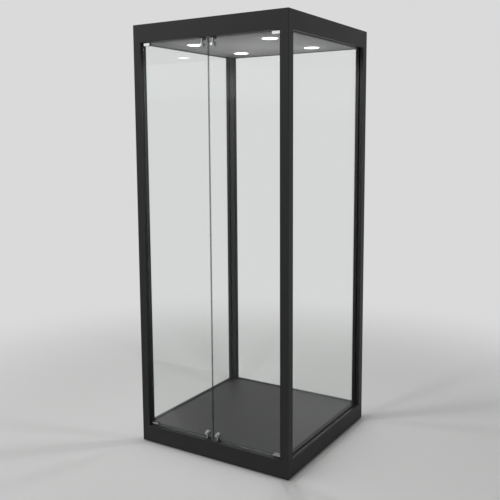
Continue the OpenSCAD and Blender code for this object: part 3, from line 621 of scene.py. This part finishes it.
class CASE_OT_stage(bpy.types.Operator):
    """Add the floor, the soft lights, the pale surroundings and the camera"""

    bl_idname = "display_case.stage"
    bl_label = "Stage"

    def execute(self, context):
        self.camera(context)
        self.floor(context)
        self.surroundings(context)
        self.lights(context)
        context.scene.view_settings.view_transform = "Standard"
        return {"FINISHED"}

    def camera(self, context):
        """Looks along its heading and tilt, then turns by roll about its own line of sight."""
        v = context.scene.case_view
        level = math.cos(v.tilt)
        forward = Vector((-math.sin(v.heading) * level, math.cos(v.heading) * level, -math.sin(v.tilt)))
        right = forward.cross(Vector((0, 0, 1))).normalized()
        up = right.cross(forward)
        turned_right = right * math.cos(v.roll) + up * math.sin(v.roll)
        turned_up = up * math.cos(v.roll) - right * math.sin(v.roll)
        data = bpy.data.cameras.new("camera")
        data.lens = v.lens
        data.shift_x = v.shift_x
        data.shift_y = v.shift_y
        camera = bpy.data.objects.new("camera", data)
        context.collection.objects.link(camera)
        turn = Matrix((turned_right, turned_up, -forward)).transposed().to_4x4()
        place = Vector((v.distance * math.sin(v.bearing), -v.distance * math.cos(v.bearing), v.height))
        camera.matrix_world = Matrix.Translation(place) @ turn
        context.scene.camera = camera

    def floor(self, context):
        """A round pale floor: rings that widen outwards, and fade to the surroundings' own tone far out."""
        rings, spokes, reach = 24, 96, 14.0
        radius = reach * np.linspace(0, 1, rings) ** 2
        angle = np.arange(spokes) * TAU / spokes
        across = radius[:, None]
        points = np.stack((
            across * np.cos(angle), across * np.sin(angle), np.zeros((rings, spokes))), axis=-1)
        mesh = bpy.data.meshes.new("floor")
        mesh.from_pydata(points.reshape(-1, 3), [], grid_faces(rings, spokes, False, True).tolist())
        m = Finish("floor_paint")
        x, y, _ = m.axes()
        paint = m.surface(Base_Color=(0.80, 0.80, 0.795), Roughness=0.85)
        far = m.node("ShaderNodeEmission", {}, {"Color": (*WALL_TONE, 1.0), "Strength": 1.0})
        seen = self.seen(m)
        fade = ((x ** 2 + y ** 2) ** 0.5).ramp(*FLOOR_FADE)
        mesh.materials.append(m.done(m.node("ShaderNodeMixShader", {}, {0: fade * seen, 1: paint, 2: far})))
        made = bpy.data.objects.new("floor", mesh)
        context.collection.objects.link(made)

    def seen(self, m):
        """1 where a ray comes from the camera, off gloss or through glass."""
        camera, gloss, glass = (
            m.node("ShaderNodeLightPath", {}, {}, f"Is {kind} Ray")
            for kind in ("Camera", "Glossy", "Transmission"))
        return camera.larger(gloss).larger(glass)

    def surroundings(self, context):
        """Soft grey light, weaker from the right, and a pale wall for the camera, gloss and glass."""
        world = bpy.data.worlds.new("surroundings")
        world.use_nodes = True
        tree = world.node_tree
        tree.nodes.clear()
        path = tree.nodes.new("ShaderNodeLightPath")
        seen = tree.nodes.new("ShaderNodeMath")
        seen.operation = "MAXIMUM"
        clear = tree.nodes.new("ShaderNodeMath")
        clear.operation = "MAXIMUM"
        tree.links.new(path.outputs["Is Camera Ray"], seen.inputs[0])
        tree.links.new(path.outputs["Is Transmission Ray"], seen.inputs[1])
        tree.links.new(seen.outputs[0], clear.inputs[0])
        tree.links.new(path.outputs["Is Glossy Ray"], clear.inputs[1])
        soft = tree.nodes.new("ShaderNodeBackground")
        tree.links.new(self.fall_off(tree, SOFT_TONE, SOFT_SHADE), soft.inputs["Color"])
        wall = tree.nodes.new("ShaderNodeBackground")
        wall.inputs["Color"].default_value = (*WALL_TONE, 1)
        mix = tree.nodes.new("ShaderNodeMixShader")
        out = tree.nodes.new("ShaderNodeOutputWorld")
        tree.links.new(clear.outputs[0], mix.inputs[0])
        tree.links.new(soft.outputs[0], mix.inputs[1])
        tree.links.new(wall.outputs[0], mix.inputs[2])
        tree.links.new(mix.outputs[0], out.inputs["Surface"])
        context.scene.world = world

    def fall_off(self, tree, tone, shade):
        """A tone that turns into another as the direction swings to the case's right."""
        direction = tree.nodes.new("ShaderNodeTexCoord")
        split = tree.nodes.new("ShaderNodeSeparateXYZ")
        tree.links.new(direction.outputs["Generated"], split.inputs[0])
        fall = tree.nodes.new("ShaderNodeMapRange")
        tree.links.new(split.outputs["X"], fall.inputs["Value"])
        fall.inputs["From Max"].default_value = SHADE_FROM
        blend = tree.nodes.new("ShaderNodeMixRGB")
        tree.links.new(fall.outputs["Result"], blend.inputs["Fac"])
        blend.inputs["Color1"].default_value = (*tone, 1)
        blend.inputs["Color2"].default_value = (*shade, 1)
        return blend.outputs["Color"]

    def lights(self, context):
        """A large soft key on the doors' side, a weak fill and back light, the lamps and their glow."""
        for name, place, size, power in (
                ("key", (-2.6, -3.4, 3.6), 4.0, 76.0),
                ("fill", (3.4, -1.6, 2.6), 3.0, 2.0),
                ("back", (-1.0, 3.6, 3.0), 3.0, 20.0)):
            data = bpy.data.lights.new(name, "AREA")
            data.size = size
            data.energy = power
            aim = Vector((0, 0, MID_Z)) - Vector(place)
            turn = aim.to_track_quat("-Z", "Y").to_matrix().to_4x4()
            self.stand(context, data, Matrix.Translation(place) @ turn)
        reach = (high("lamp_housings")[:2] - context.scene.case_detail.lamp_radius).tolist()
        for sx, sy in CORNERS:
            place = (sx * reach[0], sy * reach[1], FASCIA_Z - LAMP_DROP)
            self.spot(context, "lamp", place, 0.0, 89.0, 9.0)
            self.spot(context, "halo", place, 180.0, 85.0, 0.5)
        self.spot(context, "glow", (0, 0, FASCIA_Z - GLOW_DROP), 180.0, 62.0, 14.0)

    def spot(self, context, name, place, turn, half_angle, power):
        """A round soft spotlight that shines down, or up where turned by 180 degrees."""
        data = bpy.data.lights.new(name, "SPOT")
        data.shadow_soft_size = LAMP_SOFT
        data.spot_size = math.radians(2 * half_angle)
        data.spot_blend = 0.5
        data.energy = power
        matrix = Matrix.Translation(place) @ Matrix.Rotation(math.radians(turn), 4, "X")
        self.stand(context, data, matrix).visible_glossy = False

    def stand(self, context, data, place):
        """Puts a light in its place, unseen by the camera and through glass."""
        lamp = bpy.data.objects.new(data.name, data)
        context.collection.objects.link(lamp)
        lamp.matrix_world = place
        lamp.visible_camera = False
        lamp.visible_transmission = False
        return lamp


class CASE_OT_frame(bpy.types.Operator):
    """Finish the extruded frame and the roof sheet"""

    bl_idname = "display_case.frame"
    bl_label = "Frame"

    def execute(self, context):
        coat = powder_coat(context.scene.case_finishes.coat)
        for node in FRAME_NODES:
            dress(node, coat, context.scene.case_detail.edge)
        return {"FINISHED"}


class CASE_OT_boards(bpy.types.Operator):
    """Finish the deck and the ceiling"""

    bl_idname = "display_case.boards"
    bl_label = "Boards"

    def execute(self, context):
        colours = context.scene.case_finishes
        dress("deck_board", laminate("deck_laminate", colours.deck, 0.00005), 0.0004)
        dress("ceiling_board", laminate("ceiling_laminate", colours.ceiling, 0.00004), 0.0004)
        return {"FINISHED"}


class CASE_OT_glass(bpy.types.Operator):
    """Finish the fixed panes and the doors"""

    bl_idname = "display_case.glass"
    bl_label = "Glass"

    def execute(self, context):
        tint = context.scene.case_finishes.glass
        arris = context.scene.case_detail.arris
        for node, axis in (("left_glass", 1), ("right_glass", 1), ("back_glass", 0)):
            edges = pane_edges(axis, high(node)[axis], low(node)[2], high(node)[2])
            dress(node, clear_glass(node, tint, edges), arris, 1)
        for side, _ in SIDES:
            dress(f"{side}_door_glass", clear_glass(f"{side}_door", tint, door_edges(side)), arris, 1)
        return {"FINISHED"}


class CASE_OT_gaskets(bpy.types.Operator):
    """Make the rubber gaskets that hold the fixed panes in their grooves"""

    bl_idname = "display_case.gaskets"
    bl_label = "Gaskets"

    def execute(self, context):
        rubber = plastic("gasket_rubber", (0.019, 0.019, 0.019), 0.6)
        quarter = Matrix.Rotation(math.radians(90), 4, "Z")
        for node, pane, turn in (
                ("left_gasket", "left_glass", quarter), ("right_gasket", "right_glass", quarter),
                ("back_gasket", "back_glass", Matrix.Identity(4))):
            thin = 1 if pane == "back_glass" else 0
            along = 1 - thin
            outer = high(node)[along] - OPENING_HALF
            half_groove = (high(node)[thin] - low(node)[thin]) / 2
            half_glass = (high(pane)[thin] - low(pane)[thin]) / 2
            bite = high(pane)[along] - OPENING_HALF
            section = self.section(outer, bite, half_groove, half_glass)
            shape = frame_sweep(section, OPENING_HALF, PLINTH_Z, FASCIA_Z)
            middle = [0.0, 0.0, 0.0]
            middle[thin] = (high(node)[thin] + low(node)[thin]) / 2
            shape = moved(shape, Matrix.Translation(middle) @ turn)
            piece(node + "_lips", shape, rubber, "case", (node,), 50.0)
        return {"FINISHED"}

    def section(self, outer, bite, half_groove, half_glass):
        """U-shaped outline, from its floor in the groove to two lips with round ends."""
        lip = -LIP_PROUD
        corners = [
            (outer, -half_groove), (outer, half_groove), (lip, half_groove), (lip, half_glass),
            (bite, half_glass), (bite, -half_glass), (lip, -half_glass), (lip, -half_groove)]
        radii = np.array([0.3, 0.3, 0.55, 0.3, 0.05, 0.05, 0.3, 0.55]) * MM
        return softened(corners, radii, 5)


class CASE_OT_hinges(bpy.types.Operator):
    """Finish the pivot clips, their pins, pads, bushes and the door stops"""

    bl_idname = "display_case.hinges"
    bl_label = "Hinges"

    def execute(self, context):
        edge = context.scene.case_detail.fitting_edge
        chrome = metal("chrome_fittings", (0.34, 0.34, 0.35), 0.14, 0.0, 0.08)
        steel = metal("satin_steel", (0.56, 0.56, 0.57), 0.30, 0.00002)
        rubber = plastic("pad_rubber", (0.02, 0.02, 0.02), 0.62)
        nylon = plastic("black_nylon", (0.018, 0.018, 0.019), 0.42)
        for side, _ in SIDES:
            dress(f"{side}_pivot_clips", chrome, edge, 3)
            dress(f"{side}_pivot_pins", steel)
            dress(f"{side}_clip_pads", rubber)
            dress(f"{side}_door_screws", steel, 0.0002, 1)
        dress("pivot_bushes", nylon, 0.0003, 2)
        dress("door_stops", plastic("black_plate", (0.018, 0.018, 0.018), 0.5), 0.0003, 2)
        return {"FINISHED"}


class CASE_OT_locks(bpy.types.Operator):
    """Make the lock housings and finish their plugs, bolts, covers and rosettes"""

    bl_idname = "display_case.locks"
    bl_label = "Locks"

    def execute(self, context):
        edge = context.scene.case_detail.fitting_edge
        chrome = metal("polished_lock", (0.34, 0.34, 0.35), 0.12, 0.0, 0.06)
        plug = metal("plug_steel", (0.60, 0.60, 0.61), 0.24, 0.00001)
        for side, sign in SIDES:
            for end in ENDS:
                shape = self.housing(context.scene.case_detail, sign, end)
                name = f"{side}_{end}_lock"
                piece(name + "_body", shape, chrome, f"{side}_door", (name + "_housing",), 28.0)
                dress(name + "_plug", plug, 0.0002, 2)
                dress(name + "_bolt", plug, 0.0002, 2)
            dress(f"{side}_lock_covers", plug)
            dress(f"{side}_lock_rosettes", chrome, edge * 0.4, 2)
        return {"FINISHED"}

    def housing(self, sizes, sign, end):
        """The round housing with its bolt neck, mirrored to its own corner of the doors."""
        shape = together([self.barrel(sizes), self.neck(sizes.neck_radius)])
        if end == "upper":
            shape = moved(shape, upper_end())
        if sign > 0:
            shape = moved(shape, mirror_x())
        return shape

    def barrel(self, sizes):
        """Turned shell: flanged drum, a coved step up to the boss, and the plug's bore through it.

        Below the middle the wall starts further from the glass, which leaves the bolt its way out.
        """
        front = GLASS_FRONT - LOCK_FRONT
        drum, boss, wall = sizes.lock_drum, sizes.lock_boss, sizes.lock_wall
        bore = boss - BOSS_WALL
        cavity = LOCK_R - wall
        profile = softened(
            [(LOCK_R, 0.0), (LOCK_R, drum), (boss, drum), (boss, front), (bore, front),
             (bore, drum - wall), (cavity, drum - wall), (cavity, 0.0)],
            np.array([0.4, 1.7, 0.9, 0.9, 0.35, 0.2, 0.3, 0.2]) * MM, 7)
        points, faces = lathe(profile, 72)
        way_out = GLASS_FRONT - low("left_lower_lock_bolt")[1] + WAY_OUT_GAP
        turn = np.degrees(np.arctan2(points[:, 0], -points[:, 1]))
        on_wall = np.hypot(points[:, 0], points[:, 1]) > cavity - 0.5 * MM
        below = (np.abs(turn) < WAY_OUT_HALF_ANGLE) & on_wall
        points[:, 2] = np.where(below, np.maximum(points[:, 2], way_out), points[:, 2])
        stand = Matrix.Translation((-LOCK_X, GLASS_FRONT, LOCK_Z))
        return moved((points, faces), stand @ Matrix.Rotation(math.radians(90), 4, "X"))

    def neck(self, half):
        """Guide tube of the bolt: round in front, square against the glass, ending inside the drum's wall.

        The radius at an angle is half / max(|cos|, |sin|) behind the bolt and half in front of it, and
        the upper end follows the drum's circle.
        """
        bolt = "left_lower_lock_bolt"
        axis_y = (low(bolt)[1] + high(bolt)[1]) / 2
        bore = (high(bolt)[1] - low(bolt)[1]) / 2 + BOLT_GAP
        count = 48
        angle = np.arange(count) * TAU / count
        cos, sin = np.cos(angle), np.sin(angle)
        square = half / np.maximum(np.abs(cos), np.abs(sin))
        outer = np.where(sin > 0, np.minimum(square, half * NECK_CORNER), half)
        reach = np.stack((outer, outer, outer - 0.7 * MM, np.full(count, bore + 0.4 * MM),
                          np.full(count, bore), np.full(count, bore)), axis=1)
        x = reach * cos[:, None]
        y = np.minimum(reach * sin[:, None], GLASS_FRONT - axis_y)
        hidden = LOCK_Z - np.sqrt((LOCK_R - NECK_SET) ** 2 - x ** 2)
        level = np.array([0.0, 0.7, 0.0, 0.0, 0.4, 0.0]) * MM
        z = NECK_Z + np.broadcast_to(level, reach.shape).copy()
        z[:, 0] = hidden[:, 0]
        z[:, 5] = hidden[:, 5]
        points = np.stack((x - LOCK_X, y + axis_y, z), axis=-1).reshape(-1, 3)
        return points, grid_faces(count, 6, True, True)


class CASE_OT_lamps(bpy.types.Operator):
    """Make the lamps: turned housings with cooling fins, and crowned lit lenses"""

    bl_idname = "display_case.lamps"
    bl_label = "Lamps"

    def execute(self, context):
        colours = context.scene.case_finishes
        fins = context.scene.case_detail.fins
        casing = metal("lamp_casing", (0.70, 0.70, 0.70), 0.34, 0.00002)
        trim = context.scene.case_detail.lamp_radius
        centre = high("lamp_housings")[:2] - trim
        lens_r = high("lamp_lenses")[0] - centre[0]
        centres = [(sx * centre[0], sy * centre[1]) for sx, sy in CORNERS]
        housing = lathe(self.housing_outline(trim, lens_r), 240, self.fin_shape(trim, fins))
        lens = lathe(self.lens_outline(lens_r), 96)
        places = [Matrix.Translation((x, y, 0)) for x, y in centres]
        piece("lamp_bodies", together([moved(housing, p) for p in places]), casing, "case",
              ("lamp_housings",), 35.0)
        piece("lamp_windows", together([moved(lens, p) for p in places]),
              lit_lens(colours.lamp, colours.lamp_strength, centres, lens_r), "case",
              ("lamp_lenses",), 35.0)
        return {"FINISHED"}

    def housing_outline(self, trim, lens_r):
        """Closed outline: lens seat, rolled rim, flange on the ceiling, body through the board, cavity."""
        bottom, top = low("lamp_housings")[2], high("lamp_housings")[2]
        body = trim - TRIM_FLANGE
        seat = high("lamp_lenses")[2]
        cavity = lens_r - LENS_LEDGE
        roof = FASCIA_Z + WELL_HEIGHT
        board_top = high("ceiling_board")[2]
        return softened(
            [(lens_r, bottom), (trim, bottom), (trim, FASCIA_Z), (body, FASCIA_Z),
             (body, board_top + FIN_START), (body, top), (0.4 * MM, top), (0.4 * MM, roof),
             (cavity, roof), (cavity, seat), (lens_r, seat)],
            np.array([0.4, 1.8, 0.2, 0.2, 0.2, 1.0, 0.05, 0.05, 0.5, 0.2, 0.2]) * MM, 6)

    def fin_shape(self, trim, fins):
        """Cuts slots into the body above the ceiling: the radius drops by the fins' depth in each slot."""
        above = high("ceiling_board")[2] + FIN_START

        def shape(angle, profile):
            radius = np.broadcast_to(profile[None, :, 0], (len(angle), len(profile)))
            wave = np.cos(angle * fins)
            begin, rise = FIN_SLOT
            slot = np.clip((-wave - begin) / rise, 0, 1)
            cut = (profile[None, :, 1] > above + 0.1 * MM) & (radius > trim - FIN_DEPTH)
            return np.where(cut, radius - FIN_DEPTH * slot, radius)
        return shape

    def lens_outline(self, lens_r):
        """Crowned outline: the face drops by a shallow arc from its soft rim to the middle."""
        bottom, top = low("lamp_lenses")[2], high("lamp_lenses")[2]
        crown, soft = 0.3 * MM, 0.8 * MM
        rim = arc((lens_r - soft, bottom + crown + soft), soft, 0, -80, 8)
        r = np.linspace(rim[-1, 0], 0.0, 14)[1:]
        face = np.column_stack((r, bottom + (rim[-1, 1] - bottom) * (r / rim[-1, 0]) ** 2))
        return np.concatenate(([(0.0, top), (lens_r - 0.1 * MM, top)], rim, face))


class CASE_OT_feet(bpy.types.Operator):
    """Make the levelling feet: knurled pads, studs and hexagon nuts"""

    bl_idname = "display_case.feet"
    bl_label = "Feet"

    def execute(self, context):
        knurls = context.scene.case_detail.knurls
        zinc = metal("zinc_plate", (0.60, 0.60, 0.58), 0.36, 0.00001)
        rubber = plastic("foot_rubber", (0.022, 0.022, 0.022), 0.66)
        pad_r = context.scene.case_detail.foot_radius
        centre = high("levelling_feet")[:2] - pad_r
        places = [Matrix.Translation((sx * centre[0], sy * centre[1], 0)) for sx, sy in CORNERS]
        foot = self.foot(pad_r, high("levelling_feet")[2], knurls)
        piece("feet", together([moved(foot, p) for p in places]), rubber, "case",
              ("levelling_feet",), 30.0)
        dress("foot_brackets", zinc, 0.0004, 2)
        return {"FINISHED"}

    def foot(self, pad_r, top, knurls):
        """Turned pad and threaded stud with a nut: ridges round the pad's rim, six flats on the nut."""
        nut_high = low("foot_brackets")[2]
        nut_low, nut, stud = nut_high - NUT_HEIGHT, NUT_HALF, STUD_R
        rim_low, rim_high, rounding = 1.0 * MM, 5.2 * MM, 1.8 * MM
        nut_flank, nut_face, near = 0.6 * MM, nut - 0.8 * MM, 0.1 * MM
        turns = np.arange(nut_high + THREAD_RUNOUT, top - THREAD_RUNOUT, THREAD_STEP)
        thread = np.column_stack((np.where(np.arange(len(turns)) % 2, stud, stud - THREAD_DEPTH), turns))
        profile = np.concatenate((
            [(0, 0), (pad_r - 1.2 * MM, 0), (pad_r, rim_low), (pad_r, rim_high)],
            arc((pad_r - rounding, rim_high), rounding, 8, 90, 6),
            [(stud + 3 * MM, 7.2 * MM), (stud, 9 * MM), (stud, nut_low), (nut_face, nut_low),
             (nut, nut_low + nut_flank), (nut, nut_high - nut_flank), (nut_face, nut_high),
             (stud, nut_high)], thread, [(stud - 0.8 * MM, top), (0, top)]))

        def shape(angle, outline):
            radius = np.broadcast_to(outline[None, :, 0], (len(angle), len(outline)))
            level = outline[None, :, 1]
            ridged = (level > rim_low - near) & (level < rim_high + near) & (radius > pad_r - near)
            ridge = KNURL_DEPTH * (0.5 + 0.5 * np.cos(angle * knurls))
            radius = np.where(ridged, radius - ridge, radius)
            flat = np.cos(math.pi / 6) / np.cos((angle + math.pi / 6) % (math.pi / 3) - math.pi / 6)
            on_nut = (level >= nut_low) & (level <= nut_high) & (radius > stud + near)
            return np.where(on_nut, radius * flat / np.cos(math.pi / 6), radius)
        return lathe(profile, 192, shape)


class CASE_OT_inside(bpy.types.Operator):
    """Finish what the top box and the plinth hold: driver, leads, inlet, cleats and screws"""

    bl_idname = "display_case.inside"
    bl_label = "Inner parts"

    def execute(self, context):
        alloy = metal("cast_alloy", (0.62, 0.62, 0.63), 0.45, 0.00003)
        steel = metal("zinc_screws", (0.58, 0.58, 0.56), 0.32)
        black = plastic("lead_sheath", (0.02, 0.02, 0.021), 0.5)
        socket = plastic("inlet_plastic", (0.022, 0.022, 0.023), 0.38)
        case = plastic("driver_case", (0.72, 0.72, 0.70), 0.45)
        dress("corner_cleats", alloy, 0.0004, 1)
        dress("post_screws", steel)
        dress("board_screws", steel)
        dress("led_driver", case, 0.0006, 2)
        dress("lamp_wiring", black)
        dress("power_inlet", socket, 0.0004, 2)
        return {"FINISHED"}


class CASE_PT_panel(bpy.types.Panel):
    """Lists the steps that dress the display case"""

    bl_label = "Display Case"
    bl_idname = "CASE_PT_panel"
    bl_space_type = "VIEW_3D"
    bl_region_type = "UI"
    bl_category = "Display Case"

    def draw(self, context):
        for group in (context.scene.case_finishes, context.scene.case_detail, context.scene.case_view):
            box = self.layout.box()
            for key in group.bl_rna.properties.keys():
                if key not in ("rna_type", "name"):
                    box.prop(group, key)
        for step in STEPS:
            self.layout.operator(step.bl_idname)


STEPS = (
    CASE_OT_stage, CASE_OT_frame, CASE_OT_boards, CASE_OT_glass, CASE_OT_gaskets, CASE_OT_hinges,
    CASE_OT_locks, CASE_OT_lamps, CASE_OT_feet, CASE_OT_inside)
CLASSES = (CaseFinishes, CaseDetail, CaseView, *STEPS, CASE_PT_panel)


def register():
    """Registers the classes and hangs the settings on the scene."""
    for cls in CLASSES:
        bpy.utils.register_class(cls)
    bpy.types.Scene.case_finishes = PointerProperty(type=CaseFinishes)
    bpy.types.Scene.case_detail = PointerProperty(type=CaseDetail)
    bpy.types.Scene.case_view = PointerProperty(type=CaseView)


def unregister():
    """Takes away what register added."""
    del bpy.types.Scene.case_view
    del bpy.types.Scene.case_detail
    del bpy.types.Scene.case_finishes
    for cls in reversed(CLASSES):
        bpy.utils.unregister_class(cls)


def main():
    """Runs every step in order.

    The bodies hold their turns as quaternions: Euler angles lose precision near a right-angled pitch,
    which a lock's quarter turn reaches.
    """
    register()
    for body in frame["bodies"].values():
        body.rotation_mode = "QUATERNION"
    for step in STEPS:
        group, name = step.bl_idname.split(".")
        getattr(getattr(bpy.ops, group), name)()


if __name__ == "__main__":
    main()
